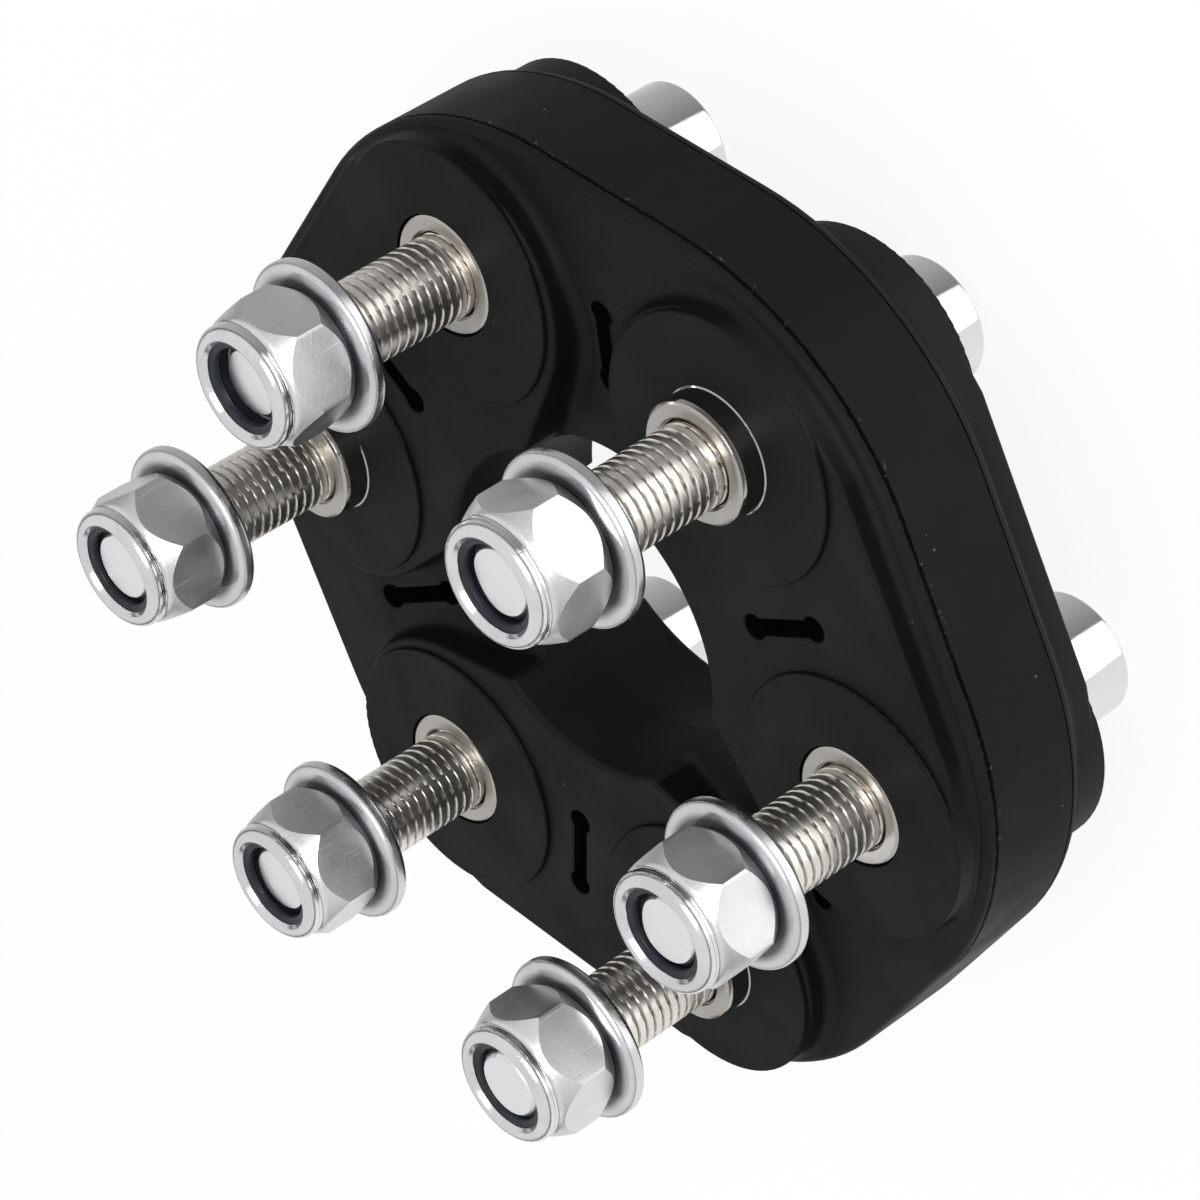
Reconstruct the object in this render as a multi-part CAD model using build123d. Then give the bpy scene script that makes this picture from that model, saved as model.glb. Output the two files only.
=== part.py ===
from build123d import *
import math
import os

# Flexible disc coupling for a drive shaft: a moulded rubber disc that carries six steel
# sleeves on one bolt circle, with a socket head bolt, washer and lock nut in each sleeve.
# The axis is +Z, the nuts are on top, and z = 0 is the plane that the lowest bolt heads
# stand on. Millimetres throughout.

# Driving dimensions: bolt circle and stations
BOLT_COUNT = 6
BOLT_CIRCLE_R = 50.0
STATION_STEP = 360.0 / BOLT_COUNT

# Bolts, M12 x 1.5 socket head
THREAD_R = 5.92
BOLT_LENGTH = 64.0
TIP_CHAMFER = 1.1
HEAD_R = 9.0
HEAD_HEIGHT = 12.0
HEAD_EDGE = 0.6
SOCKET_FLATS = 10.0
SOCKET_DEPTH = 6.0
SOCKET_LEAD_R = 5.9

# Sleeves moulded into the disc
SLEEVE_R = 8.75
SLEEVE_BORE_R = 6.1
SLEEVE_OVERHANG = 4.0
SLEEVE_CHAMFER = 0.5
SLEEVE_LEAD = 0.4

# Rubber disc, levels measured down from the front pads
DISC_THICKNESS = 27.5
PAD_R = 19.0
PAD_HEIGHT = 0.75
PAD_EDGE = 0.4
LOBE_CENTRE_R = 49.0
LOBE_R = 19.8
LOBE_FLAT = 64.0
LOBE_FLAT_WIDTH = 40.0
LOBE_SHOULDER_R = 3.0
LOBE_NOSE_X = 17.3
LOBE_NOSE_R = 2.0
LOBE_EDGE = 0.9
LOBE_COVE_R = 2.0
VALLEY_DEPTH = 4.0
REAR_VALLEY_DEPTH = 6.0
RAMP_OUTER_R = 52.0
RAMP_INNER_R = 22.0
RAMP_DROP = 4.1
REAR_RAMP_DROP = 2.0
RIM_CORNER_R = 45.0
RIM_CORNER_OFFSET = 25.15
RIM_EDGE = 1.4
COVE_LIMIT = 1.1
PLATE_MARGIN = 6.0
BORE_MOUTH_R = 24.2
BORE_WAIST_R = 23.2
BORE_LIP = 1.1
CORE_ALLOWANCE = 0.2
SLOT_INNER_R = 35.2
SLOT_OUTER_R = 50.3
SLOT_END_R = 1.75
SLOT_WIDTH = 2.3

# Washers
WASHER_R = 12.0
WASHER_BORE_R = 6.5
WASHER_THICKNESS = 2.5
WASHER_EDGE = 0.9

# Lock nuts
NUT_FLATS = 18.0
NUT_HEX_HEIGHT = 10.2
NUT_HEIGHT = 12.5
NUT_BEARING_R = 8.6
NUT_LOWER_CHAMFER = 3.0
NUT_UPPER_CHAMFER = 3.2
COLLAR_R = 8.5
COLLAR_EDGE = 1.5
COLLAR_MOUTH_R = 6.35
RING_SEAT_R = 7.3
RING_BASE = 8.7
RING_TOP = 11.6
RING_BORE_R = 5.4
# How far each nut stands past its bolt tip, and how its hexagon is turned (degrees)
NUT_LEADS = (2.6, 1.5, 2.0, 1.0, 1.4, 1.7)
NUT_TURNS = (57.0, 37.0, 3.0, 23.0, 59.0, 20.0)

# Levels
DISC_REAR = HEAD_HEIGHT + SLEEVE_OVERHANG
DISC_FRONT = DISC_REAR + DISC_THICKNESS
LOBE_FRONT = DISC_FRONT - PAD_HEIGHT
LOBE_REAR = DISC_REAR + PAD_HEIGHT
VALLEY_FRONT = DISC_FRONT - VALLEY_DEPTH
VALLEY_REAR = DISC_REAR + REAR_VALLEY_DEPTH
SLEEVE_LENGTH = DISC_THICKNESS + SLEEVE_OVERHANG

os.makedirs("parts", exist_ok=True)


def station(index, z=0.0):
    """Place a piece on the bolt circle at this station and height."""
    angle = math.radians(index * STATION_STEP)
    return Pos(BOLT_CIRCLE_R * math.cos(angle), BOLT_CIRCLE_R * math.sin(angle), z)


def stands_forward(index):
    """Odd stations have their sleeve standing out at the front, even ones at the rear."""
    return index % 2 == 1


def sleeve_rear(index):
    """Level of a sleeve's rear end, which the bolt head bears on."""
    return DISC_REAR if stands_forward(index) else DISC_REAR - SLEEVE_OVERHANG


def rim_outline(inset=0.0):
    """The disc seen from above: a hexagon with large round corners."""
    return offset(RegularPolygon(RIM_CORNER_OFFSET, BOLT_COUNT), amount=RIM_CORNER_R - inset)


def core():
    """Cutter for the middle of the disc, a little inside the finished hole."""
    radius = BORE_WAIST_R - CORE_ALLOWANCE
    return Cylinder(radius, DISC_FRONT, align=(Align.CENTER, Align.CENTER, Align.MIN))


def ramp(level, drop):
    """Cutter that makes the floors of the valleys fall towards the middle hole."""
    side = Polyline(
        (0, level + drop),
        (RAMP_OUTER_R, level + drop),
        (RAMP_OUTER_R, level),
        (RAMP_INNER_R, level - drop),
        (0, level - drop),
        close=True,
    )
    return revolve(Plane.XZ * make_face(side), Axis.Z)


def web():
    """The plate between the lobes, thinner towards the hole, drawn past the rim for now."""
    plate = extrude(rim_outline(-PLATE_MARGIN), amount=VALLEY_FRONT - VALLEY_REAR)
    plate = Pos(0, 0, VALLEY_REAR) * plate
    return plate - ramp(VALLEY_FRONT, RAMP_DROP) - ramp(VALLEY_REAR, -REAR_RAMP_DROP)


def lobe_outline():
    """Round about two stations, flat towards the rim and blunt towards the hole."""
    reach = LOBE_CENTRE_R * math.cos(math.radians(STATION_STEP / 2))
    half = LOBE_CENTRE_R * math.sin(math.radians(STATION_STEP / 2))
    rounds = [Pos(LOBE_NOSE_X + LOBE_NOSE_R, 0) * Circle(LOBE_NOSE_R)]
    for side in (-1, 1):
        rounds.append(Pos(reach, side * half) * Circle(LOBE_R))
        shoulder = Pos(LOBE_FLAT - LOBE_SHOULDER_R, side * LOBE_FLAT_WIDTH / 2)
        rounds.append(shoulder * Rot(0, 0, 180) * Circle(LOBE_SHOULDER_R))
    return make_hull([shape.edge() for shape in rounds])


def lobe(pair):
    """One of three long bosses, each joining two neighbouring stations."""
    body = extrude(lobe_outline(), amount=LOBE_FRONT - LOBE_REAR)
    ends = body.edges().group_by(Axis.Z)
    body = fillet(ends[0] + ends[-1], LOBE_EDGE)
    return Rot(0, 0, (2 * pair + 0.5) * STATION_STEP) * Pos(0, 0, LOBE_REAR) * body


def rim_envelope():
    """Everything inside the rim, whose edges are rounded."""
    slab = extrude(rim_outline(), amount=VALLEY_FRONT - VALLEY_REAR)
    ends = slab.edges().group_by(Axis.Z)
    slab = Pos(0, 0, VALLEY_REAR) * fillet(ends[0] + ends[-1], RIM_EDGE)
    inner = extrude(rim_outline(COVE_LIMIT), amount=LOBE_FRONT - LOBE_REAR)
    return slab + Pos(0, 0, LOBE_REAR) * inner


def lobed_body():
    """Web and lobes, a cove along the foot of each lobe's wall, cut back to the rim."""
    body = plate = web()
    lobes = [lobe(pair) for pair in range(BOLT_COUNT // 2)]
    for boss in lobes:
        body += boss
    body -= core()
    feet = []
    for edge in new_edges(plate, *lobes, combined=body):
        middle = edge.position_at(0.5)
        if math.hypot(middle.X, middle.Y) > BORE_WAIST_R:
            feet.append(edge)
    return fillet(feet, LOBE_COVE_R) & rim_envelope()


def pad_column(index):
    """Round flat pads on both faces, as one column through the disc."""
    column = Cylinder(PAD_R, DISC_THICKNESS, align=(Align.CENTER, Align.CENTER, Align.MIN))
    ends = column.edges().filter_by(GeomType.CIRCLE)
    return station(index, DISC_REAR) * fillet(ends, PAD_EDGE)


def centre_bore():
    """Cutter for the middle hole: narrowest half way, with rounded lips at both faces."""
    past = 2.0
    lip_r = BORE_MOUTH_R + BORE_LIP
    side = Polyline((0, LOBE_REAR - past), (lip_r, LOBE_REAR - past), (lip_r, LOBE_REAR))
    side += RadiusArc((lip_r, LOBE_REAR), (BORE_MOUTH_R, LOBE_REAR + BORE_LIP), BORE_LIP)
    side += Polyline(
        (BORE_MOUTH_R, LOBE_REAR + BORE_LIP),
        (BORE_WAIST_R, (LOBE_FRONT + LOBE_REAR) / 2),
        (BORE_MOUTH_R, LOBE_FRONT - BORE_LIP),
    )
    side += RadiusArc((BORE_MOUTH_R, LOBE_FRONT - BORE_LIP), (lip_r, LOBE_FRONT), BORE_LIP)
    side += Polyline((lip_r, LOBE_FRONT), (lip_r, LOBE_FRONT + past), (0, LOBE_FRONT + past))
    side += Line((0, LOBE_FRONT + past), (0, LOBE_REAR - past))
    return revolve(Plane.XZ * make_face(side), Axis.Z)


def web_slot(index):
    """Cutter for the dog-bone slot half way between two stations."""
    inner = SLOT_INNER_R + SLOT_END_R
    outer = SLOT_OUTER_R - SLOT_END_R
    shape = Pos((inner + outer) / 2, 0) * Rectangle(outer - inner, SLOT_WIDTH)
    for end in (inner, outer):
        shape += Pos(end, 0) * Circle(SLOT_END_R)
    turn = Rot(0, 0, (index + 0.5) * STATION_STEP)
    return turn * Pos(0, 0, DISC_REAR) * extrude(shape, amount=DISC_THICKNESS)


def flex_disc():
    """The rubber moulding, with a hole for each sleeve."""
    disc = lobed_body()
    for index in range(BOLT_COUNT):
        disc += pad_column(index)
    disc -= centre_bore()
    for index in range(BOLT_COUNT):
        bore = Cylinder(SLEEVE_R, DISC_THICKNESS, align=(Align.CENTER, Align.CENTER, Align.MIN))
        disc -= station(index, DISC_REAR) * bore
        disc -= web_slot(index)
    return disc


def sleeve(index):
    """A turned steel tube, chamfered outside and in at both ends."""
    tube = Cylinder(SLEEVE_R, SLEEVE_LENGTH, align=(Align.CENTER, Align.CENTER, Align.MIN))
    tube = chamfer(tube.edges().filter_by(GeomType.CIRCLE), SLEEVE_CHAMFER)
    bore = Cylinder(SLEEVE_BORE_R, SLEEVE_LENGTH, align=(Align.CENTER, Align.CENTER, Align.MIN))
    lead = Cone(SLEEVE_BORE_R + SLEEVE_LEAD, SLEEVE_BORE_R, SLEEVE_LEAD,
                align=(Align.CENTER, Align.CENTER, Align.MIN))
    tube -= bore
    tube -= lead
    tube -= Pos(0, 0, SLEEVE_LENGTH) * Rot(180, 0, 0) * lead
    return station(index, sleeve_rear(index)) * tube


def bolt(index):
    """Socket head bolt, head down, its threaded length kept as a plain shank."""
    head = Cylinder(HEAD_R, HEAD_HEIGHT, align=(Align.CENTER, Align.CENTER, Align.MAX))
    head = fillet(head.edges().filter_by(GeomType.CIRCLE).sort_by(Axis.Z)[0], HEAD_EDGE)
    shank = Cylinder(THREAD_R, BOLT_LENGTH, align=(Align.CENTER, Align.CENTER, Align.MIN))
    shank = chamfer(shank.edges().filter_by(GeomType.CIRCLE).sort_by(Axis.Z)[-1], TIP_CHAMFER)
    recess = extrude(RegularPolygon(SOCKET_FLATS / 2, 6, major_radius=False), amount=SOCKET_DEPTH)
    lead = Cone(SOCKET_LEAD_R, SOCKET_FLATS / 2, SOCKET_LEAD_R - SOCKET_FLATS / 2,
                align=(Align.CENTER, Align.CENTER, Align.MIN))
    body = head + shank - Pos(0, 0, -HEAD_HEIGHT) * recess - Pos(0, 0, -HEAD_HEIGHT) * lead
    return station(index, sleeve_rear(index)) * body


def nut_seat(index):
    """Level of the face that the nut bears on, the top of its washer."""
    tip = sleeve_rear(index) + BOLT_LENGTH
    return tip + NUT_LEADS[index] - NUT_HEIGHT


def washer(index):
    """Thick plain washer with rolled edges, against the nut."""
    ring = Cylinder(WASHER_R, WASHER_THICKNESS, align=(Align.CENTER, Align.CENTER, Align.MAX))
    ring = fillet(ring.edges().filter_by(GeomType.CIRCLE), WASHER_EDGE)
    ring -= Cylinder(WASHER_BORE_R, WASHER_THICKNESS, align=(Align.CENTER, Align.CENTER, Align.MAX))
    return station(index, nut_seat(index)) * ring


def nut_envelope():
    """Round blank whose cones chamfer the hexagon at both ends."""
    corner = NUT_FLATS / math.sqrt(3)
    side = Polyline(
        (0, 0),
        (NUT_BEARING_R, 0),
        (corner, NUT_LOWER_CHAMFER),
        (corner, NUT_HEX_HEIGHT - NUT_UPPER_CHAMFER),
        (COLLAR_R, NUT_HEX_HEIGHT),
        (0, NUT_HEX_HEIGHT),
        close=True,
    )
    return revolve(Plane.XZ * make_face(side), Axis.Z)


def nut(index):
    """Steel lock nut: hexagon, rolled-in collar and the seat for its nylon ring."""
    hexagon = extrude(RegularPolygon(NUT_FLATS / 2, 6, major_radius=False), amount=NUT_HEX_HEIGHT)
    body = Rot(0, 0, NUT_TURNS[index]) * (hexagon & nut_envelope())
    collar = Cylinder(COLLAR_R, NUT_HEIGHT, align=(Align.CENTER, Align.CENTER, Align.MIN))
    collar = fillet(collar.edges().filter_by(GeomType.CIRCLE).sort_by(Axis.Z)[-1], COLLAR_EDGE)
    body += collar
    body -= Cylinder(THREAD_R, NUT_HEIGHT, align=(Align.CENTER, Align.CENTER, Align.MIN))
    mouth = Cylinder(COLLAR_MOUTH_R, NUT_HEIGHT - RING_BASE,
                     align=(Align.CENTER, Align.CENTER, Align.MIN))
    seat = Cylinder(RING_SEAT_R, RING_TOP - RING_BASE,
                    align=(Align.CENTER, Align.CENTER, Align.MIN))
    body -= Pos(0, 0, RING_BASE) * (mouth + seat)
    return station(index, nut_seat(index)) * body


def nylon_ring(index):
    """Locking ring under the nut's rolled-in collar; it closes in past the bolt's tip."""
    ring = Cylinder(RING_SEAT_R, RING_TOP - RING_BASE,
                    align=(Align.CENTER, Align.CENTER, Align.MIN))
    ring -= Cylinder(RING_BORE_R, RING_TOP - RING_BASE,
                     align=(Align.CENTER, Align.CENTER, Align.MIN))
    gripped = NUT_HEIGHT - NUT_LEADS[index] - RING_BASE
    ring -= Cylinder(THREAD_R, gripped, align=(Align.CENTER, Align.CENTER, Align.MIN))
    return station(index, nut_seat(index) + RING_BASE) * ring


export_step(flex_disc(), "parts/flex_disc.step")
for index in range(BOLT_COUNT):
    number = index + 1
    export_step(sleeve(index), f"parts/sleeve_{number}.step")
    export_step(bolt(index), f"parts/bolt_{number}.step")
    export_step(washer(index), f"parts/washer_{number}.step")
    export_step(nut(index), f"parts/nut_{number}.step")
    export_step(nylon_ring(index), f"parts/nylon_ring_{number}.step")
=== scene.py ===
import bpy
import math
from mathutils import Matrix, Vector


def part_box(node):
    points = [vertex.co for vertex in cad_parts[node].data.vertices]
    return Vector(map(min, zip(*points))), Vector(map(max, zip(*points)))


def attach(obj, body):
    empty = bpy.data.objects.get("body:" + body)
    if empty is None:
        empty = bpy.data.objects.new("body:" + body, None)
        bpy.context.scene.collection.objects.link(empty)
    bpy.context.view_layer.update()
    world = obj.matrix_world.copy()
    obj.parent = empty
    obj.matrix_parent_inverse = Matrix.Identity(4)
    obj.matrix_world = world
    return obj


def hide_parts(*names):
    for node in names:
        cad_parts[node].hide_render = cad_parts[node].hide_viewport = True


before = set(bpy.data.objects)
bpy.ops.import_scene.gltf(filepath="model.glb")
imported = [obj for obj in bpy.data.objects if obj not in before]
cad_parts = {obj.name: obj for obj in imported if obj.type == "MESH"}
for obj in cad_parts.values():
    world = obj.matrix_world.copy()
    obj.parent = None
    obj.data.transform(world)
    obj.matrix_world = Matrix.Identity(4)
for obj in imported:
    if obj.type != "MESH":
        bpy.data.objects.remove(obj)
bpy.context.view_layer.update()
MM = 0.001


# Rubber disc: one moulding in hard black rubber, whose shape is the solid's own. It comes
# from a split mould, which leaves two fine parting lines on the rim and one in the hole,
# and it carries the pale dust and scuffs of a stored part.
def put(tree, kind, inputs=None, **settings):
    """One node, with its settings made and its sockets set or joined."""
    made = tree.nodes.new(kind)
    for key, value in settings.items():
        setattr(made, key, value)
    for key, value in (inputs or {}).items():
        if isinstance(value, bpy.types.NodeSocket):
            tree.links.new(value, made.inputs[key])
        else:
            made.inputs[key].default_value = value
    return made


def calc(tree, operation, *values):
    """One sum in a tree, and the socket that its result comes out of."""
    return put(tree, "ShaderNodeMath", dict(enumerate(values)), operation=operation).outputs[0]


def ramp(tree, value, low, high, to_low=0.0, to_high=1.0):
    """Carries a value from one range smoothly into another, and no further."""
    return put(tree, "ShaderNodeMapRange", {0: value, 1: low, 2: high, 3: to_low, 4: to_high},
               interpolation_type="SMOOTHSTEP").outputs[0]


def blend(tree, factor, first, second):
    """Two colours mixed by a factor."""
    made = put(tree, "ShaderNodeMix", data_type="RGBA")
    for socket, value in ((made.inputs[0], factor), (made.inputs[6], first), (made.inputs[7], second)):
        if isinstance(value, bpy.types.NodeSocket):
            tree.links.new(value, socket)
        else:
            socket.default_value = value
    return made.outputs[2]


def open_tree(name, kind, inputs, outputs):
    """A new tree or node group with named sockets, and the sockets of its two end nodes."""
    tree = bpy.data.node_groups.new(name, kind)
    for label, socket, value in inputs:
        made = tree.interface.new_socket(label, in_out="INPUT", socket_type=socket)
        if value is not None:
            made.default_value = value
    for label, socket in outputs:
        tree.interface.new_socket(label, in_out="OUTPUT", socket_type=socket)
    return tree, tree.nodes.new("NodeGroupInput").outputs, tree.nodes.new("NodeGroupOutput").inputs


def noise(tree, where, scale, detail=3.0, roughness=0.5):
    """Smooth random value from 0 to 1 over the surface."""
    return put(tree, "ShaderNodeTexNoise",
               {"Vector": where, "Scale": scale, "Detail": detail, "Roughness": roughness}).outputs[0]


def new_finish(name, **fixed):
    """A material with its shader, the fixed values of that shader, and Object coordinates."""
    finish = bpy.data.materials.new(name)
    finish.use_nodes = True
    tree = finish.node_tree
    shader = tree.nodes["Principled BSDF"]
    for label, value in fixed.items():
        shader.inputs[label.replace("_", " ")].default_value = value
    return finish, tree, shader, put(tree, "ShaderNodeTexCoord").outputs["Object"]


# Settled dust, used on rubber and nylon: sparse pale specks, a few of them larger.
dust, given, result = open_tree(
    "Settled dust", "ShaderNodeTree",
    [("Where", "NodeSocketVector", None), ("Scale", "NodeSocketFloat", 260.0),
     ("Amount", "NodeSocketFloat", 0.5)],
    [("Mask", "NodeSocketFloat")],
)
specks = put(dust, "ShaderNodeTexVoronoi", {"Vector": given["Where"], "Scale": given["Scale"]})
pick = put(dust, "ShaderNodeSeparateColor", {0: specks.outputs["Color"]})
size = calc(dust, "MULTIPLY", calc(dust, "POWER", pick.outputs[1], 3.0), 0.11)
uneven = calc(dust, "MULTIPLY", noise(dust, given["Where"], 3000.0), 0.10)
inside = calc(dust, "LESS_THAN", calc(dust, "ADD", specks.outputs["Distance"], uneven),
              calc(dust, "ADD", size, 0.03))
chosen = calc(dust, "LESS_THAN", pick.outputs[0], given["Amount"])
dust.links.new(calc(dust, "MULTIPLY", inside, chosen), result["Mask"])


def dusted(tree, where, scale, amount):
    """Mask of the settled dust on a finish."""
    specked = put(tree, "ShaderNodeGroup", node_tree=dust)
    tree.links.new(where, specked.inputs["Where"])
    specked.inputs["Scale"].default_value = scale
    specked.inputs["Amount"].default_value = amount
    return specked.outputs["Mask"]


rubber, tree, shader, where = new_finish("Moulded black rubber", IOR=1.5, Specular_IOR_Level=0.07)
tone = blend(tree, ramp(tree, noise(tree, where, 38.0), 0.35, 0.65),
             (0.0074, 0.0086, 0.0083, 1), (0.0096, 0.0109, 0.0105, 1))
stretched = put(tree, "ShaderNodeMapping", {"Vector": where, "Rotation": (0.3, 0.5, 0.9),
                                            "Scale": (1.0, 9.0, 1.0)}).outputs[0]
scuff = calc(tree, "MULTIPLY", ramp(tree, noise(tree, stretched, 150.0, 6.0), 0.60, 0.74),
             ramp(tree, noise(tree, where, 24.0), 0.55, 0.75))

# The mould's parting lines: a torn dark seam high on the rim, a fine crisp one low on it
# and one at the waist of the hole. Heights and radii are in millimetres.
RIM_SEAM, REAR_SEAM, WAIST_SEAM = 37.8, 23.7, 29.6
RIM_FROM, HOLE_TO = 60.0, 24.0
axes = put(tree, "ShaderNodeSeparateXYZ", {0: where}).outputs
plan = put(tree, "ShaderNodeCombineXYZ", {0: axes[0], 1: axes[1]}).outputs[0]
reach = put(tree, "ShaderNodeVectorMath", {0: plan}, operation="LENGTH").outputs["Value"]
on_rim = calc(tree, "GREATER_THAN", reach, RIM_FROM * MM)
in_hole = calc(tree, "LESS_THAN", reach, HOLE_TO * MM)
torn = noise(tree, where, 900.0, 5.0, 0.7)


def seam(height, half_width, ragged, zone):
    """Mask of a parting line at this height, its edge broken up by this much."""
    stray = calc(tree, "MULTIPLY", calc(tree, "SUBTRACT", torn, 0.5), ragged * MM)
    level = calc(tree, "ADD", axes[2], stray)
    away = calc(tree, "ABSOLUTE", calc(tree, "SUBTRACT", level, height * MM))
    return calc(tree, "MULTIPLY", ramp(tree, away, half_width * MM, half_width * 0.5 * MM), zone)


seams = calc(tree, "MAXIMUM", seam(RIM_SEAM, 0.38, 0.8, on_rim), seam(REAR_SEAM, 0.16, 0.1, on_rim))
lit_edge = calc(tree, "MAXIMUM", seam(REAR_SEAM - 0.3, 0.12, 0.1, on_rim),
                seam(WAIST_SEAM, 0.2, 0.1, in_hole))
flecks = calc(tree, "MULTIPLY", seam(RIM_SEAM - 0.3, 0.6, 1.8, on_rim), ramp(tree, torn, 0.60, 0.66))
# The wall below the high seam is a little warmer, and below the low one a little paler.
wall = calc(tree, "MULTIPLY", on_rim, ramp(tree, axes[2], (RIM_SEAM + 1.2) * MM, RIM_SEAM * MM))
below = calc(tree, "MULTIPLY", on_rim,
             ramp(tree, axes[2], (REAR_SEAM + 0.1) * MM, (REAR_SEAM - 0.3) * MM))


def sixth_bearing(tree, x, y):
    """Bearing of a point from the middle of its sixth of the circle."""
    sixth = math.tau / 6
    return calc(tree, "SUBTRACT", calc(tree, "FLOORED_MODULO", calc(tree, "ARCTAN2", y, x), sixth), sixth / 2)


# The dog-bone slots: how far a point lies outside the nearest one. Their walls are painted
# near-black as shade, and their edges are softly rounded by the mould.
SLOT_MIDDLE, SLOT_REACH, SLOT_HALF_WIDTH, SLOT_END_RADIUS = 42.75, 5.8, 1.15, 1.75
bearing = sixth_bearing(tree, axes[0], axes[1])
outward = calc(tree, "MULTIPLY", reach, calc(tree, "COSINE", bearing))
along = calc(tree, "ABSOLUTE", calc(tree, "SUBTRACT", outward, SLOT_MIDDLE * MM))
past = calc(tree, "SUBTRACT", along, SLOT_REACH * MM)
across = calc(tree, "ABSOLUTE", calc(tree, "MULTIPLY", reach, calc(tree, "SINE", bearing)))
bar = calc(tree, "MAXIMUM", past, calc(tree, "SUBTRACT", across, SLOT_HALF_WIDTH * MM))
ends = put(tree, "ShaderNodeCombineXYZ", {0: past, 1: across}).outputs[0]
ends = put(tree, "ShaderNodeVectorMath", {0: ends}, operation="LENGTH").outputs["Value"]
outside = calc(tree, "MINIMUM", bar, calc(tree, "SUBTRACT", ends, SLOT_END_RADIUS * MM))
painted_slot_shade = ramp(tree, outside, 0.30 * MM, 0.02 * MM)
# The parting lines are dark seams; inside the slots the same near-black is painted shade.
seams_and_slot_shade = calc(tree, "MAXIMUM", seams, painted_slot_shade)

# The steep walls of the lobes are painted near-black and left dull, as shade. Out at
# the rim the painted shade starts above its ledge and fades round the lobes' shoulders.
LEDGE, SHOULDER_REACH = 39.5, 68.4
facing = put(tree, "ShaderNodeTexCoord").outputs["Normal"]
upright = calc(tree, "ABSOLUTE", put(tree, "ShaderNodeSeparateXYZ", {0: facing}).outputs[2])
front = ramp(tree, axes[2], 30 * MM, 31 * MM)
clear_of_hole = ramp(tree, reach, (HOLE_TO + 0.6) * MM, (HOLE_TO + 1.2) * MM)
flank = calc(tree, "MULTIPLY", ramp(tree, axes[2], (LEDGE - 0.2) * MM, (LEDGE + 0.2) * MM),
             ramp(tree, reach, SHOULDER_REACH * MM, (SHOULDER_REACH - 2.0) * MM))
inward = ramp(tree, reach, (RIM_FROM + 2.6) * MM, (RIM_FROM + 1.4) * MM)
painted_wall_shade = ramp(tree, upright, 0.85, 0.35)
for limit in (clear_of_hole, front, calc(tree, "MAXIMUM", flank, inward)):
    painted_wall_shade = calc(tree, "MULTIPLY", painted_wall_shade, limit)

# Each mark goes over the ones before it.
for mask, strength, colour in (
        (scuff, 0.3, (0.05, 0.052, 0.052)), (wall, 0.8, (0.0088, 0.0083, 0.0084)),
        (below, 0.5, (0.0185, 0.0190, 0.0188)), (painted_wall_shade, 0.8, (0.0016, 0.0020, 0.0018)),
        (seams_and_slot_shade, 1.0, (0.0004, 0.0004, 0.0004)), (lit_edge, 0.06, (0.035, 0.036, 0.037)),
        (flecks, 0.5, (0.12, 0.12, 0.12)), (dusted(tree, where, 420.0, 0.16), 1.0, (0.075, 0.075, 0.073))):
    tone = blend(tree, calc(tree, "MULTIPLY", mask, strength), tone, (*colour, 1))
tree.links.new(tone, shader.inputs["Base Color"])
matt = ramp(tree, calc(tree, "MAXIMUM", seams_and_slot_shade, painted_wall_shade), 0.0, 1.0, 1.0, 1.8)
worn = ramp(tree, noise(tree, where, 90.0, 5.0), 0.3, 0.7, 0.44, 0.56)
tree.links.new(calc(tree, "MULTIPLY", worn, matt), shader.inputs["Roughness"])
relief = calc(tree, "SUBTRACT", calc(tree, "MULTIPLY", noise(tree, where, 1400.0, 4.0), 0.12), seams)
relief = calc(tree, "SUBTRACT", relief, ramp(tree, outside, 0.7 * MM, 0.0, 0.0, 0.7))
skin = put(tree, "ShaderNodeBump", {"Height": relief, "Strength": 1.0, "Distance": 0.2 * MM}).outputs[0]
tree.links.new(skin, shader.inputs["Normal"])
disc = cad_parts["flex_disc"]
disc.data.materials.clear()
disc.data.materials.append(rubber)


# Sleeves: six turned steel tubes moulded into the disc, one on each seat of the bolt
# circle. Their end faces are left as sawn and faced, dull and faintly warm, and their
# outsides are ground bright. Every other one stands out at the front.
SEATS = range(1, 7)


def size_of(node):
    """Radius and height of a turned solid, in millimetres."""
    low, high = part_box(node)
    return (high.x - low.x) / 2 / MM, (high.z - low.z) / MM


def seats_of(name, foot=None):
    """Where each copy of a piece stands: on its solid's axis, at the foot of it or of another."""
    seats = []
    for number in SEATS:
        low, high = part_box(f"{name}_{number}")
        middle = (low + high) / 2
        seats.append((middle.x, middle.y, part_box(f"{foot or name}_{number}")[0].z))
    return seats


def read(tree, name):
    """Reads a value that lies on the mesh by name, while a piece is made."""
    return put(tree, "GeometryNodeInputNamedAttribute", {"Name": name}, data_type="FLOAT").outputs[0]


# Spinning, used for every turned piece: the points of a half section become the rows of a
# grid, and each column of the grid is turned one step further round the axis.
spin, given, result = open_tree(
    "Spin half section", "GeometryNodeTree",
    [("Section", "NodeSocketGeometry", None), ("Steps", "NodeSocketInt", 96)],
    [("Mesh", "NodeSocketGeometry")],
)
rows = put(spin, "GeometryNodeAttributeDomainSize", {0: given["Section"]}, component="MESH").outputs[0]
sheet = put(spin, "GeometryNodeMeshGrid",
            {"Size X": 1.0, "Size Y": 1.0, "Vertices X": calc(spin, "ADD", given["Steps"], 1.0),
             "Vertices Y": rows}).outputs[0]
number = put(spin, "GeometryNodeInputIndex").outputs[0]
row = calc(spin, "MODULO", number, rows)
column = calc(spin, "FLOOR", calc(spin, "DIVIDE", calc(spin, "ADD", number, 0.5), rows))
angle = calc(spin, "MULTIPLY", calc(spin, "DIVIDE", column, given["Steps"]), math.tau)
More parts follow.
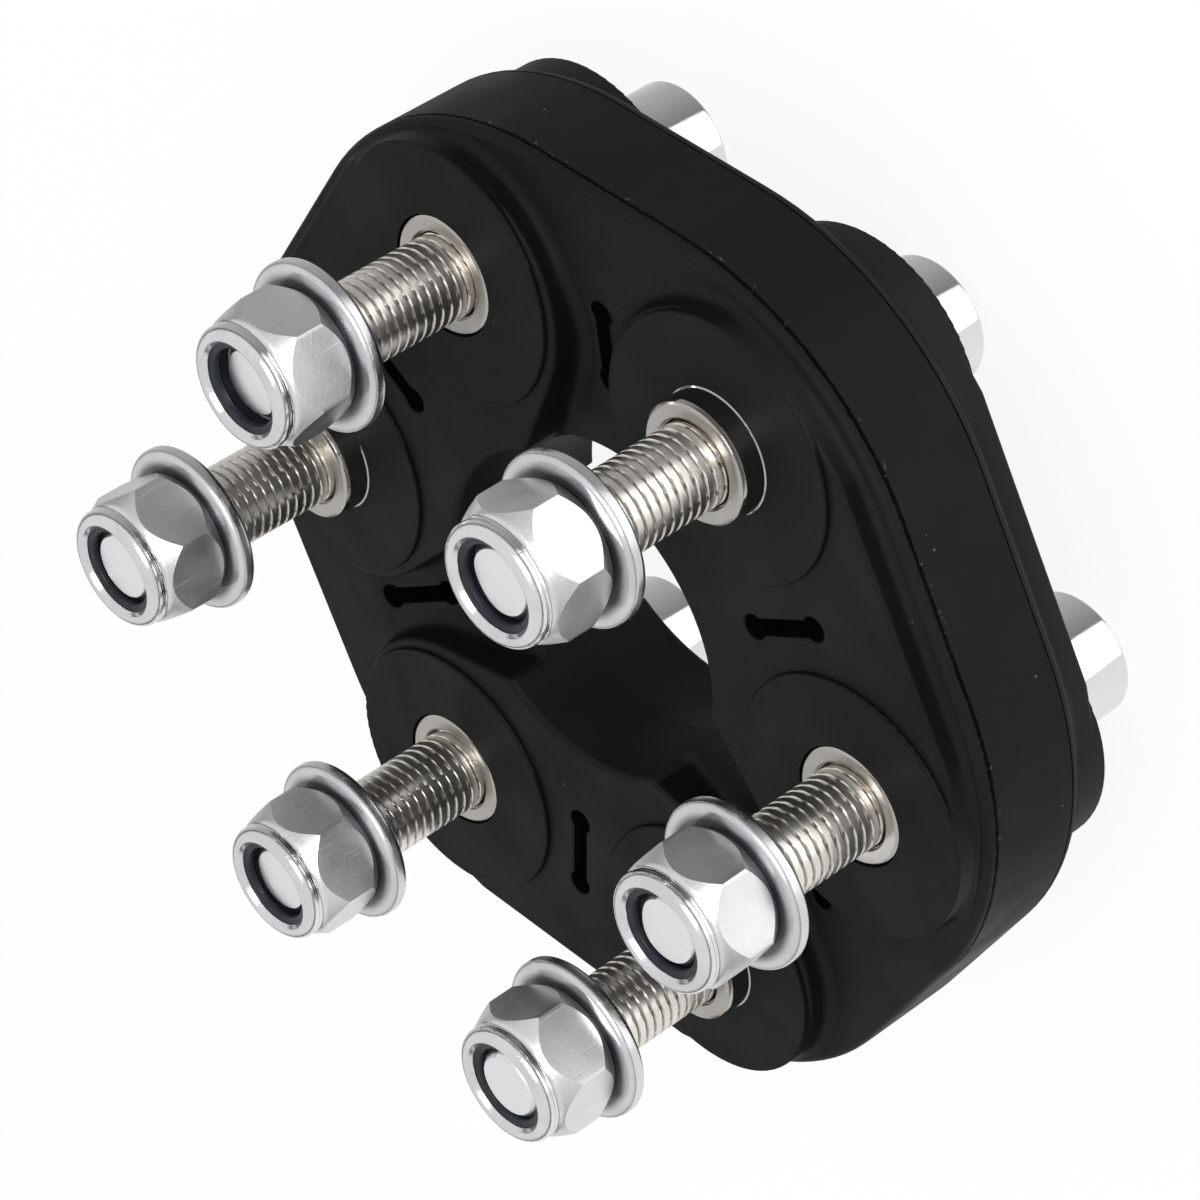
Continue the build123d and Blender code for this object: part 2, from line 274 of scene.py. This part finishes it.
spot = put(spin, "GeometryNodeSampleIndex",
           {0: given["Section"], "Value": put(spin, "GeometryNodeInputPosition").outputs[0], "Index": row},
           data_type="FLOAT_VECTOR").outputs[0]
turned = put(spin, "ShaderNodeVectorRotate", {"Vector": spot, "Angle": angle}, rotation_type="Z_AXIS")
zone = put(spin, "GeometryNodeSampleIndex",
           {0: given["Section"], "Value": read(spin, "zone"), "Index": row}, data_type="FLOAT").outputs[0]
wrapped = put(spin, "GeometryNodeSetPosition", {"Geometry": sheet, "Position": turned.outputs[0]}).outputs[0]
marked = put(spin, "GeometryNodeStoreNamedAttribute",
             {"Geometry": wrapped, "Name": "zone", "Value": zone}, data_type="FLOAT",
             domain="POINT").outputs[0]
joined = put(spin, "GeometryNodeMergeByDistance", {"Geometry": marked, "Distance": 0.001 * MM}).outputs[0]
spin.links.new(joined, result["Mesh"])


def start_piece(name, inputs=()):
    """A tree that spins the half section it is given, up to the shaping step."""
    tree, given, result = open_tree(
        name, "GeometryNodeTree",
        [("Geometry", "NodeSocketGeometry", None), ("Steps", "NodeSocketInt", 96)] + list(inputs),
        [("Geometry", "NodeSocketGeometry")],
    )
    parted = put(tree, "GeometryNodeSeparateGeometry",
                 {"Geometry": given["Geometry"], "Selection": read(tree, "seat")}, domain="POINT").outputs
    spun = put(tree, "GeometryNodeGroup", node_tree=spin)
    tree.links.new(parted["Inverted"], spun.inputs["Section"])
    tree.links.new(given["Steps"], spun.inputs["Steps"])
    return tree, given, spun.outputs[0], parted["Selection"], result


def end_piece(tree, shape, seats, result, finish):
    """Sets one copy of the shape on every seat, turned as the seat says."""
    turn = put(tree, "ShaderNodeCombineXYZ", {2: read(tree, "turn")}).outputs[0]
    copies = put(tree, "GeometryNodeInstanceOnPoints",
                 {"Points": seats, "Instance": shape, "Rotation": turn}).outputs[0]
    whole = put(tree, "GeometryNodeRealizeInstances", {"Geometry": copies}).outputs[0]
    coated = put(tree, "GeometryNodeSetMaterial", {"Geometry": whole, "Material": finish}).outputs[0]
    tree.links.new(coated, result["Geometry"])


def section(corners, steps=4):
    """Half section in millimetres from corners of radius, height, rounding and zone."""
    line = []
    for index, (radius, height, rounding, zone) in enumerate(corners):
        here = Vector((radius, height))
        if rounding == 0:
            line.append((radius, height, zone))
            continue
        back = (Vector(corners[index - 1][:2]) - here).normalized()
        onward = (Vector(corners[(index + 1) % len(corners)][:2]) - here).normalized()
        reach = rounding / math.tan(back.angle(onward) / 2)
        centre = here + (back + onward).normalized() * math.hypot(reach, rounding)
        start, end = here + back * reach - centre, here + onward * reach - centre
        for step in range(steps + 1):
            arm = start.lerp(end, step / steps).normalized() * rounding
            line.append((*(centre + arm), zone))
    return line


def seated(name, tree, line, seats, sizes, turns=(0,) * len(SEATS), sharp=35):
    """Runs a piece's tree on its half section and seats, and keeps the result as a mesh."""
    blank = bpy.data.meshes.new(name)
    blank.from_pydata([(radius * MM, 0, height * MM) for radius, height, zone in line] + seats,
                      [(index, index + 1) for index in range(len(line) - 1)], [])
    for label, values in (("zone", [zone for radius, height, zone in line] + [0.0] * len(seats)),
                          ("seat", [0.0] * len(line) + [1.0] * len(seats)),
                          ("turn", [0.0] * len(line) + [math.radians(turn) for turn in turns])):
        blank.attributes.new(label, "FLOAT", "POINT").data.foreach_set("value", values)
    holder = bpy.data.objects.new(name + "_blank", blank)
    bpy.context.collection.objects.link(holder)
    worker = holder.modifiers.new("Make", "NODES")
    worker.node_group = tree
    for item in tree.interface.items_tree:
        if item.in_out == "INPUT" and item.name in sizes:
            worker[item.identifier] = sizes[item.name]
    bpy.context.view_layer.update()
    evaluated = holder.evaluated_get(bpy.context.evaluated_depsgraph_get())
    made = bpy.data.meshes.new_from_object(evaluated)
    bpy.data.objects.remove(holder)
    made.shade_smooth()
    made.set_sharp_from_angle(angle=math.radians(sharp))
    piece = bpy.data.objects.new(name, made)
    bpy.context.collection.objects.link(piece)
    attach(piece, "root")
    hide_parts(*[f"{name}_{number}" for number in SEATS])


# Worked metal, used on every steel piece: cloudy tone, fine grain and long light scratches.
worked, given, result = open_tree(
    "Worked metal", "ShaderNodeTree",
    [("Where", "NodeSocketVector", None), ("Scratches", "NodeSocketFloat", 0.3)],
    [("Tone", "NodeSocketFloat"), ("Roughness", "NodeSocketFloat"), ("Height", "NodeSocketFloat")],
)
cloud = noise(worked, given["Where"], 140.0, 4.0)
grain = noise(worked, given["Where"], 2200.0)
drawn = put(worked, "ShaderNodeMapping", {"Vector": given["Where"], "Rotation": (0.2, 0.1, 0.4),
                                          "Scale": (1.0, 1.0, 0.06)}).outputs[0]
scratch = ramp(worked, noise(worked, drawn, 2600.0, 2.0), 0.60, 0.74)
scratch = calc(worked, "MULTIPLY", scratch, given["Scratches"])
worked.links.new(calc(worked, "ADD", calc(worked, "MULTIPLY", cloud, 0.7),
                      calc(worked, "MULTIPLY", grain, 0.3)), result["Tone"])
worked.links.new(calc(worked, "ADD", cloud, scratch), result["Roughness"])
worked.links.new(calc(worked, "SUBTRACT", grain, scratch), result["Height"])


def work_metal(tree, shader, where, dark, bright, rough, scratches=0.3, relief=0.15):
    """Lays the worked metal's tone, roughness and grain on a steel finish."""
    surface = put(tree, "ShaderNodeGroup", node_tree=worked)
    tree.links.new(where, surface.inputs["Where"])
    surface.inputs["Scratches"].default_value = scratches
    tone = blend(tree, ramp(tree, surface.outputs["Tone"], 0.3, 0.7), (*dark, 1), (*bright, 1))
    tree.links.new(tone, shader.inputs["Base Color"])
    worn = ramp(tree, surface.outputs["Roughness"], 0.3, 0.9, *rough)
    tree.links.new(worn, shader.inputs["Roughness"])
    bump = put(tree, "ShaderNodeBump", {"Height": surface.outputs["Height"], "Strength": relief,
                                        "Distance": 0.05 * MM}).outputs[0]
    tree.links.new(bump, shader.inputs["Normal"])
    return tone


def painted(tree, name):
    """Reads a value that lies on the mesh by name, in a finish."""
    return put(tree, "ShaderNodeAttribute", attribute_name=name).outputs["Fac"]


def scale_roughness(tree, shader, factor):
    """Multiplies a finish's roughness by a factor that varies over the surface."""
    worn = shader.inputs["Roughness"].links[0].from_socket
    tree.links.new(calc(tree, "MULTIPLY", worn, factor), shader.inputs["Roughness"])


sleeve_radius, sleeve_length = size_of("sleeve_1")
SLEEVE_BORE = 6.1
SHOULDER = 4.0
steel, tree, shader, where = new_finish("Faced sleeve steel", Metallic=1.0)
work_metal(tree, shader, where, (0.42, 0.395, 0.365), (0.52, 0.495, 0.465), (0.30, 0.44))
scale_roughness(tree, shader, ramp(tree, painted(tree, "zone"), 0.0, 1.0, 0.22, 1.0))
tree, given, shape, seats, result = start_piece("Sleeves")
end_piece(tree, shape, seats, result, steel)
# Half of the half section, from the middle of the bore to the middle of the outside. Zone is
# 1 on the end face, and SHOULDER is where the tube leaves the rubber in a small ring.
half = [
    (SLEEVE_BORE, sleeve_length / 2, 0, 0),
    (SLEEVE_BORE, 0.4, 0.1, 0),
    (SLEEVE_BORE + 0.4, 0, 0.1, 1),
    (sleeve_radius - 0.6, 0, 0.1, 1),
    (sleeve_radius - 0.2, 0.25, 0.15, 0),
    (sleeve_radius, 0.8, 0.15, 0),
    (sleeve_radius, SHOULDER - 0.17, 0, 0),
    (sleeve_radius + 0.2, SHOULDER - 0.05, 0, 0),
    (sleeve_radius + 0.2, SHOULDER + 0.3, 0, 0),
    (sleeve_radius, SHOULDER + 0.4, 0, 0),
]
line = section(half + [(radius, sleeve_length - height, rounding, zone)
                       for radius, height, rounding, zone in reversed(half)])
seated("sleeve", tree, line, seats_of("sleeve"), {"Steps": 96})


# Bolts: M12 x 1.5 socket head bolts, cold headed with a rolled thread, nickel bright and a
# little warm. The head is underneath, and the thread shows between sleeve and washer.
bolt_finish, tree, shader, where = new_finish("Rolled bolt steel", Metallic=1.0)
tone = work_metal(tree, shader, where, (0.72, 0.685, 0.635), (0.87, 0.835, 0.785), (0.26, 0.38),
                  relief=0.1)
# The thread's grooves are painted dark brown as shade.
tone = blend(tree, calc(tree, "MULTIPLY", painted(tree, "groove"), 0.8), tone, (0.22, 0.19, 0.16, 1))
# Heads, where zone is -1, are smooth and bright, and the faced tips, where it is 2, are the
# palest part of the bolt.
zone = painted(tree, "zone")
head = calc(tree, "LESS_THAN", zone, -0.5)
tone = blend(tree, calc(tree, "MULTIPLY", head, 0.8), tone, (0.74, 0.74, 0.75, 1))
tone = blend(tree, calc(tree, "GREATER_THAN", zone, 1.5), tone, (0.84, 0.84, 0.84, 1))
tree.links.new(tone, shader.inputs["Base Color"])
scale_roughness(tree, shader, ramp(tree, head, 0.0, 1.0, 1.0, 0.16))

THREAD_RADIUS = 5.92
THREAD_PITCH = 1.5
THREAD_DEPTH = 0.38
THREAD_FROM, THREAD_TO = 30.0, 52.5
THREAD_FADE = 0.8
SOCKET_FLATS, SOCKET_RADIUS, SOCKET_LEAD_RADIUS, SOCKET_DEPTH = 10.0, 5.4, 5.9, 6.0
TIP_RADIUS, TIP_HEIGHT = 4.5, 1.6
head_radius, bolt_length = size_of("bolt_1")
head_height = (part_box("sleeve_1")[0].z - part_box("bolt_1")[0].z) / MM
bolt_top = bolt_length - head_height


def split(tree):
    """The three coordinates of a point while a piece is made."""
    return put(tree, "ShaderNodeSeparateXYZ", {0: put(tree, "GeometryNodeInputPosition").outputs[0]}).outputs


def from_axis(tree, spot):
    """How far a point lies from the piece's axis."""
    return calc(tree, "SQRT", calc(tree, "ADD", calc(tree, "MULTIPLY", spot[0], spot[0]),
                                   calc(tree, "MULTIPLY", spot[1], spot[1])))


def drawn_in(tree, spot, scale, height):
    """The point moved to a share of its distance from the axis, and to a height."""
    return put(tree, "ShaderNodeCombineXYZ", {0: calc(tree, "MULTIPLY", spot[0], scale),
                                              1: calc(tree, "MULTIPLY", spot[1], scale), 2: height}).outputs[0]


tree, given, shape, seats, result = start_piece(
    "Bolts", [("Pitch", "NodeSocketFloat", 1.0), ("Depth", "NodeSocketFloat", 0.5)])
spot = split(tree)
bearing = calc(tree, "ARCTAN2", spot[1], spot[0])
turns = calc(tree, "SUBTRACT", calc(tree, "DIVIDE", spot[2], given["Pitch"]),
             calc(tree, "DIVIDE", bearing, math.tau))
wave = calc(tree, "ABSOLUTE", calc(tree, "SUBTRACT", calc(tree, "FRACT", turns), 0.5))
dip = ramp(tree, wave, 0.34, 0.48)
radius = from_axis(tree, spot)
zone = read(tree, "zone")
groove = calc(tree, "MULTIPLY", dip, ramp(tree, zone, 0.0, 1.0))
cut = calc(tree, "MULTIPLY", groove, given["Depth"])
scale = calc(tree, "DIVIDE", calc(tree, "SUBTRACT", radius, cut), calc(tree, "MAXIMUM", radius, 0.1 * MM))
# The recess in the head is pressed from round to a hexagon.
hexagon = calc(tree, "DIVIDE", SOCKET_FLATS / 2 / SOCKET_RADIUS,
               calc(tree, "COSINE", sixth_bearing(tree, spot[0], spot[1])))
recessed = calc(tree, "MULTIPLY", calc(tree, "LESS_THAN", zone, -0.5),
                calc(tree, "LESS_THAN", radius, (SOCKET_RADIUS + 0.1) * MM))
change = calc(tree, "MULTIPLY", recessed, calc(tree, "SUBTRACT", hexagon, 1.0))
scale = calc(tree, "MULTIPLY", scale, calc(tree, "ADD", 1.0, change))
marked = put(tree, "GeometryNodeStoreNamedAttribute",
             {"Geometry": shape, "Name": "groove", "Value": groove},
             data_type="FLOAT", domain="POINT").outputs[0]
threaded = put(tree, "GeometryNodeSetPosition",
               {"Geometry": marked, "Position": drawn_in(tree, spot, scale, spot[2])}).outputs[0]
end_piece(tree, threaded, seats, result, bolt_finish)
line = section([
    (0, -head_height + SOCKET_DEPTH, 0, -1),
    (SOCKET_RADIUS, -head_height + SOCKET_DEPTH, 0, -1),
    (SOCKET_RADIUS, -head_height + 0.5, 0, -1),
    (SOCKET_LEAD_RADIUS, -head_height, 0, -1),
    (head_radius, -head_height, 0.6, -1),
    (head_radius, 0, 0.3, -1),
    (THREAD_RADIUS, 0, 0, -1),
])
# Along the thread zone rises from 0 to 1 and back, which fades the groove in and out.
ROWS_PER_TURN = 11
count = int((THREAD_TO - THREAD_FROM) / THREAD_PITCH * ROWS_PER_TURN)
for index in range(count + 1):
    height = THREAD_FROM + (THREAD_TO - THREAD_FROM) * index / count
    fade = min(1.0, (height - THREAD_FROM) / THREAD_FADE, (THREAD_TO - height) / THREAD_FADE)
    line.append((THREAD_RADIUS, height, max(0.0, fade)))
line += section([(THREAD_RADIUS, THREAD_TO + 0.2, 0, 0), (THREAD_RADIUS, bolt_top - TIP_HEIGHT, 0.2, 0),
                 (TIP_RADIUS, bolt_top, 0.2, 2), (0, bolt_top, 0, 2)])
seated("bolt", tree, line, seats_of("bolt", "sleeve"), {
    "Steps": 84, "Pitch": THREAD_PITCH * MM, "Depth": THREAD_DEPTH * MM},
       turns=[37 * number for number in SEATS])


# Washers: thick plain washers with rolled edges, zinc plated, one pulled up against each
# nut. Beside the nut, where zone is 1, they are painted dark as shade and as the nut's reflection.
satin, tree, shader, where = new_finish("Satin zinc", Metallic=1.0)
tone = work_metal(tree, shader, where, (0.60, 0.61, 0.62), (0.72, 0.73, 0.74), (0.24, 0.36), relief=0.25)
# Painted shade and reflection: the face darkens towards the nut.
tone = blend(tree, ramp(tree, painted(tree, "zone"), 0.0, 1.0), tone, (0.10, 0.105, 0.11, 1))
tree.links.new(tone, shader.inputs["Base Color"])
WASHER_BORE = 6.5
washer_radius, washer_thickness = size_of("washer_1")
tree, given, shape, seats, result = start_piece("Washers")
end_piece(tree, shape, seats, result, satin)
line = section([
    (WASHER_BORE, washer_thickness / 2, 0, 0),
    (WASHER_BORE, 0, 0.3, 0),
    (washer_radius, 0, 0.9, 0),
    (washer_radius, washer_thickness, 0.9, 0),
    (washer_radius - 1.4, washer_thickness, 0, 0.25),
    (washer_radius - 2.4, washer_thickness, 0, 0.9),
    (WASHER_BORE, washer_thickness, 0.3, 1),
    (WASHER_BORE, washer_thickness / 2, 0, 0),
], steps=7)
seated("washer", tree, line, seats_of("washer"), {"Steps": 120})


# Lock nuts: cold formed hexagons with a steep chamfer at both ends and a collar that is
# rolled in over the nylon ring, zinc plated. They stand at different turns on the bolts.
zinc, tree, shader, where = new_finish("Bright zinc", Metallic=1.0)
work_metal(tree, shader, where, (0.66, 0.67, 0.68), (0.78, 0.79, 0.80), (0.30, 0.42), scratches=0.5,
           relief=0.3)
# The rolled collar, where zone is 2, is smoother than the hexagon.
collar = calc(tree, "GREATER_THAN", painted(tree, "zone"), 1.3)
scale_roughness(tree, shader, ramp(tree, collar, 0.0, 1.0, 1.0, 0.45))
NUT_FLATS = 18.0
NUT_TURNS = (57, 37, 3, 23, 59, 20)
NUT_FOOT_RADIUS, NUT_NECK_RADIUS = 8.6, 8.9
NUT_NECK = 9.6
CONE = 2.8
nut_height = size_of("nut_1")[1]
nut_corner = NUT_FLATS / math.sqrt(3)

# The half section is drawn through a corner of the hexagon. Round the nut it shrinks
# towards the foot, where zone is 1, or towards the neck, where zone is -1, so that the
# lines where the cones cut the flats come out as clean curves. The collar's zone is 2.
tree, given, shape, seats, result = start_piece(
    "Nuts", [(label, "NodeSocketFloat", 1.0) for label in (
        "Flats", "Corner", "Foot radius", "Neck radius", "Neck height", "Cone height", "Corner rounding")])
spot = split(tree)
flat = calc(tree, "DIVIDE", calc(tree, "MULTIPLY", given["Flats"], 0.5),
            calc(tree, "COSINE", sixth_bearing(tree, spot[0], spot[1])))
flat = calc(tree, "SMOOTH_MIN", flat, given["Corner"], given["Corner rounding"])
radius = from_axis(tree, spot)
zone = read(tree, "zone")
at_neck = calc(tree, "LESS_THAN", zone, -0.5)
on_hexagon = calc(tree, "COMPARE", calc(tree, "ABSOLUTE", zone), 1.0, 0.5)
wider = calc(tree, "SUBTRACT", given["Neck radius"], given["Foot radius"])
anchor = calc(tree, "ADD", given["Foot radius"], calc(tree, "MULTIPLY", at_neck, wider))
level = calc(tree, "MULTIPLY", at_neck, given["Neck height"])
share = calc(tree, "DIVIDE", calc(tree, "SUBTRACT", flat, anchor),
             calc(tree, "SUBTRACT", given["Corner"], anchor))
away = calc(tree, "MULTIPLY", calc(tree, "SUBTRACT", spot[2], level), zone)
on_cone = calc(tree, "MULTIPLY", calc(tree, "MINIMUM", away, given["Cone height"]), share)
past = calc(tree, "MAXIMUM", calc(tree, "SUBTRACT", away, given["Cone height"]), 0.0)
height = calc(tree, "ADD", level, calc(tree, "MULTIPLY", calc(tree, "ADD", on_cone, past), zone))
drawn = calc(tree, "ADD", anchor, calc(tree, "MULTIPLY", calc(tree, "SUBTRACT", radius, anchor), share))
pressed = drawn_in(tree, spot, calc(tree, "DIVIDE", drawn, radius), height)
hexed = put(tree, "GeometryNodeSetPosition",
            {"Geometry": shape, "Selection": on_hexagon, "Position": pressed}).outputs[0]
end_piece(tree, hexed, seats, result, zinc)
COLLAR_MOUTH, COLLAR_LIP = 6.35, 11.6
RING_FLOOR = 8.7
BORE_MIDDLE = 4.0
ring_seat, ring_height = size_of("nylon_ring_1")
line = section([
    (THREAD_RADIUS, BORE_MIDDLE, 0, 0),
    (THREAD_RADIUS, 0.6, 0.1, 0),
    (THREAD_RADIUS + 0.6, 0, 0.1, 0),
    (NUT_FOOT_RADIUS - 0.1, 0, 0, 0)])
slope = (nut_corner - NUT_FOOT_RADIUS) / CONE
line += [(NUT_FOOT_RADIUS + slope * up, up, 1) for up in (0.1, 1.4, 2.5, 2.68, CONE)]
line += [(nut_corner, CONE + 0.12, 1), (nut_corner, NUT_NECK / 2 - 0.3, 1),
         (nut_corner, NUT_NECK / 2 + 0.3, -1), (nut_corner, NUT_NECK - CONE - 0.12, -1)]
slope = (nut_corner - NUT_NECK_RADIUS) / CONE
line += [(NUT_NECK_RADIUS + slope * down, NUT_NECK - down, -1)
         for down in (CONE, 2.68, 2.5, 1.4, 0.3, 0.1)]
line += section([
    (NUT_NECK_RADIUS - 0.08, NUT_NECK + 0.12, 0, 0),
    (8.25, 10.35, 0.7, 2),
    (8.65, 10.95, 0.4, 2),
    (8.60, nut_height, 1.45, 2),
    (6.9, nut_height, 0.5, 2),
    (COLLAR_MOUTH, COLLAR_LIP + 0.15, 0.2, 2),
    (COLLAR_MOUTH, COLLAR_LIP, 0.05, 2),
    (ring_seat, COLLAR_LIP, 0, 0),
    (ring_seat, RING_FLOOR, 0, 0),
    (THREAD_RADIUS, RING_FLOOR, 0, 0),
    (THREAD_RADIUS, BORE_MIDDLE, 0, 0),
], steps=8)
seated("nut", tree, line, seats_of("nut"), {
    "Steps": 240, "Flats": NUT_FLATS * MM, "Corner": (nut_corner - 0.02) * MM,
    "Foot radius": NUT_FOOT_RADIUS * MM, "Neck radius": NUT_NECK_RADIUS * MM,
    "Neck height": NUT_NECK * MM, "Cone height": CONE * MM, "Corner rounding": 0.15 * MM},
       turns=NUT_TURNS, sharp=24)


# Nylon rings: dark blue-black inserts under the rolled collars. Above the bolt's tip they
# keep the small bore that the thread has not yet pressed open.
nylon, tree, shader, where = new_finish("Dark nylon", Specular_IOR_Level=0.25)
tone = blend(tree, ramp(tree, noise(tree, where, 420.0), 0.3, 0.7), (0.008, 0.010, 0.015, 1),
             (0.015, 0.019, 0.028, 1))
tone = blend(tree, dusted(tree, where, 900.0, 0.15), tone, (0.25, 0.26, 0.28, 1))
tree.links.new(tone, shader.inputs["Base Color"])
tree.links.new(ramp(tree, noise(tree, where, 700.0), 0.3, 0.7, 0.28, 0.45), shader.inputs["Roughness"])
tree, given, shape, seats, result = start_piece("Nylon rings")
end_piece(tree, shape, seats, result, nylon)
RING_BORE = 5.4
line = section([
    (RING_BORE + 0.5, ring_height / 2, 0, 0),
    (RING_BORE + 0.5, 0, 0, 0),
    (ring_seat, 0, 0, 0),
    (ring_seat, ring_height, 0, 0),
    (6.4, ring_height, 0, 0),
    (RING_BORE, ring_height - 0.2, 0.3, 0),
    (RING_BORE, ring_height - 1.0, 0.2, 0),
    (RING_BORE + 0.5, ring_height - 1.4, 0, 0),
    (RING_BORE + 0.5, ring_height / 2, 0, 0),
])
seated("nylon_ring", tree, line, seats_of("nylon_ring"), {"Steps": 72})


# Studio: a plain white floor that keeps a faint shadow, one large soft lamp over the front,
# and plain air, in which bright metal sees a white card on one side below the horizon and
# grey ones round the rest.
floor_finish = bpy.data.materials.new("White floor")
floor_finish.use_nodes = True
tree = floor_finish.node_tree
tree.nodes.clear()
paths = put(tree, "ShaderNodeLightPath").outputs
seen = calc(tree, "MAXIMUM", paths["Is Camera Ray"], paths["Is Transmission Ray"])
lit = put(tree, "ShaderNodeBsdfDiffuse", {"Color": (0.86, 0.86, 0.86, 1)}).outputs[0]
plain = put(tree, "ShaderNodeEmission", {"Color": (1, 1, 1, 1), "Strength": 1.0}).outputs[0]
shown = put(tree, "ShaderNodeMixShader", {0: calc(tree, "MULTIPLY", seen, 0.9), 1: lit, 2: plain}).outputs[0]
put(tree, "ShaderNodeOutputMaterial", {"Surface": shown})
FLOOR = 3.0
floor_mesh = bpy.data.meshes.new("Floor")
floor_mesh.from_pydata([(-FLOOR, -FLOOR, 0), (FLOOR, -FLOOR, 0), (FLOOR, FLOOR, 0), (-FLOOR, FLOOR, 0)],
                       [], [(0, 1, 2, 3)])
floor_mesh.materials.append(floor_finish)
floor = bpy.data.objects.new("Floor", floor_mesh)
bpy.context.collection.objects.link(floor)
floor.visible_glossy = False

# The cards are greys by the direction, in degrees round the upright axis, that a ray goes in.
CARDS = ((-180, 0.63), (-117, 0.60), (-116, 0.30), (-115, 1.0), (-47, 1.0), (-43, 0.17),
         (4, 0.27), (49, 0.34), (110, 0.50), (180, 0.63))
CARD_STRENGTH = 1.6
AIR_STRENGTH = 0.85
world = bpy.data.worlds.new("Studio air")
bpy.context.scene.world = world
world.use_nodes = True
tree = world.node_tree
tree.nodes.clear()
paths = put(tree, "ShaderNodeLightPath").outputs
ray = put(tree, "ShaderNodeSeparateXYZ", {0: put(tree, "ShaderNodeTexCoord").outputs["Generated"]}).outputs
turn = calc(tree, "ADD", calc(tree, "DIVIDE", calc(tree, "ARCTAN2", ray[1], ray[0]), math.tau), 0.5)
cards = put(tree, "ShaderNodeValToRGB", {0: turn})
stops = cards.color_ramp.elements
for place, grey in CARDS:
    spot = place / 360 + 0.5
    stop = stops[0] if place == -180 else stops[-1] if place == 180 else stops.new(spot)
    stop.position = spot
    stop.color = (grey, grey, grey, 1)
low_ray = calc(tree, "MULTIPLY", paths["Is Glossy Ray"], ramp(tree, ray[2], 0.06, -0.06))
plain = calc(tree, "ADD", calc(tree, "MULTIPLY", paths["Is Camera Ray"], 1.0 - AIR_STRENGTH), AIR_STRENGTH)
card = put(tree, "ShaderNodeSeparateColor", {0: cards.outputs[0]}).outputs[0]
change = calc(tree, "SUBTRACT", calc(tree, "MULTIPLY", card, CARD_STRENGTH), plain)
level = calc(tree, "ADD", plain, calc(tree, "MULTIPLY", low_ray, change))
# Bright metal also sees a darker band along the skyline.
skyline = ramp(tree, calc(tree, "ABSOLUTE", calc(tree, "SUBTRACT", ray[2], 0.08)), 0.16, 0.06)
skyline = calc(tree, "MULTIPLY", paths["Is Glossy Ray"], skyline)
level = calc(tree, "MULTIPLY", level, calc(tree, "SUBTRACT", 1.0, calc(tree, "MULTIPLY", skyline, 0.75)))
air = put(tree, "ShaderNodeBackground", {"Color": (1, 1, 1, 1), "Strength": level}).outputs[0]
put(tree, "ShaderNodeOutputWorld", {"Surface": air})

lamp = bpy.data.lights.new("Front_lamp", "AREA")
lamp.size = 0.5
lamp.energy = 6.0
holder = bpy.data.objects.new("Front_lamp", lamp)
holder.location = (0.25, -0.75, 0.75)
part_middle = Vector((0, 0, 0.045))
holder.rotation_euler = (part_middle - holder.location).to_track_quat("-Z", "Y").to_euler()
bpy.context.collection.objects.link(holder)

# Camera: a long lens well back from the part, looking down on the nuts, with the part's
# upright axis lying over to the lower left of the frame.
camera_data = bpy.data.cameras.new("Camera")
camera_data.sensor_width = 36.0
camera_data.lens = 143.65
camera_data.clip_start, camera_data.clip_end = 0.01, 20.0
camera = bpy.data.objects.new("Camera", camera_data)
right = (-0.3447, -0.6010, -0.7211)
down = (-0.8929, -0.0269, 0.4494)
ahead = (-0.2895, 0.7988, -0.5274)
facing = Matrix((right, [-value for value in down], [-value for value in ahead])).transposed()
camera.matrix_world = Matrix.Translation((0.18484, -0.50816, 0.37426)) @ facing.to_4x4()
bpy.context.collection.objects.link(camera)
bpy.context.scene.camera = camera
bpy.context.scene.view_settings.view_transform = "Standard"
